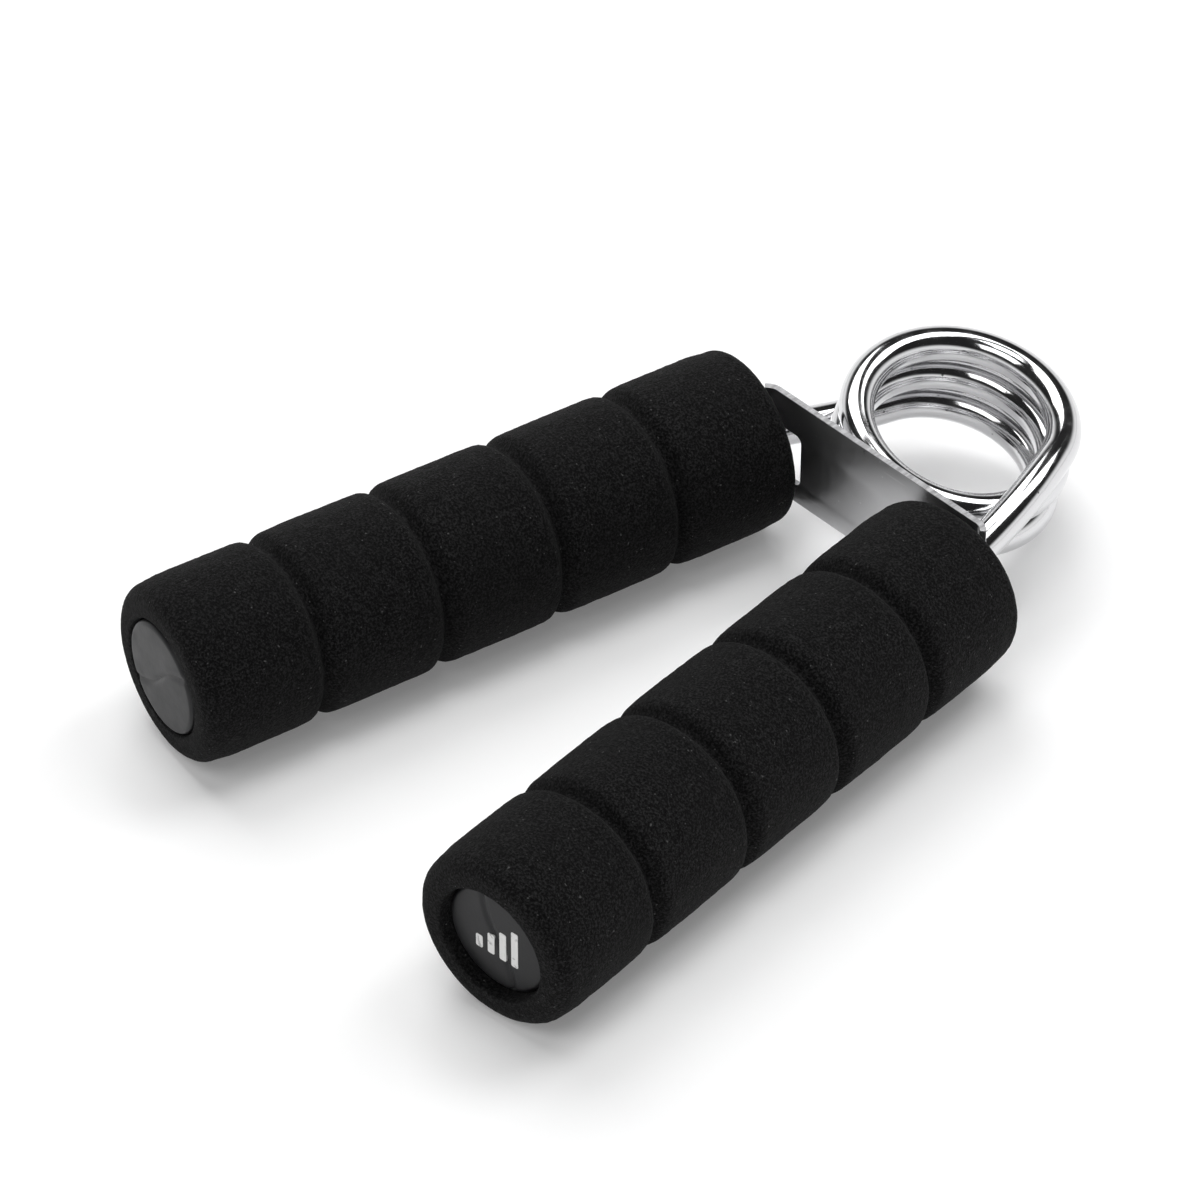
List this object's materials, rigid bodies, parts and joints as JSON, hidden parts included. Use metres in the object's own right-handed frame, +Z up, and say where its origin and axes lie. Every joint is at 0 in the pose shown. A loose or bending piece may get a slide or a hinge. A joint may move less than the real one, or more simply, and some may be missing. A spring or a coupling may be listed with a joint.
{
  "type": "hand grip strengthener",
  "caption": "Hand grip strengthener: foam-sleeved handles joined by a chromed torsion spring, with a slotted spreader bracket that holds them apart until squeezed.",
  "frame": {"origin": "under the middle of the whole object's box, on the surface it lies on", "axes": "+Z up from that surface, +Y from the handles' free ends to the coil, +X to the handle fed by the coil's top turn"},
  "size_m": [0.1058, 0.1506, 0.03],
  "materials": {
    "spring_wire": "bright chrome plating",
    "bracket_sheet": "bright plating with fine scratches",
    "foam": "matt black closed-cell foam",
    "cap_plastic": "dark grey satin plastic",
    "core_plastic": "grey moulded plastic",
    "bush_plastic": "light grey moulded plastic"
  },
  "bodies": {
    "spring_centre": {"spring_coil": "spring_wire", "spreader_bracket": "bracket_sheet"},
    "left_arm": {"left_spring_leg": "spring_wire", "left_foam_sleeve": "foam", "left_core_tube": "core_plastic", "left_end_cap": "cap_plastic", "left_collar_bush": "bush_plastic", "left_tip_bush": "bush_plastic"},
    "right_arm": {"right_spring_leg": "spring_wire", "right_foam_sleeve": "foam", "right_core_tube": "core_plastic", "right_end_cap": "cap_plastic", "right_collar_bush": "bush_plastic", "right_tip_bush": "bush_plastic"}
  },
  "joints": [
    {"name": "left_squeeze", "type": "hinge", "parent": "spring_centre", "child": "left_arm", "pos_m": [0, 0.05553, 0.0154], "axis": [0, 0, 1], "range_deg": [0, 10], "stiffness_Nm_per_rad": 76},
    {"name": "right_squeeze", "type": "hinge", "parent": "spring_centre", "child": "right_arm", "pos_m": [0, 0.05553, 0.0154], "axis": [0, 0, 1], "range_deg": [-10, 0], "stiffness_Nm_per_rad": 76}
  ],
  "couplings": [
    {"joint": "right_squeeze", "follows": "left_squeeze", "ratio": -1}
  ]
}
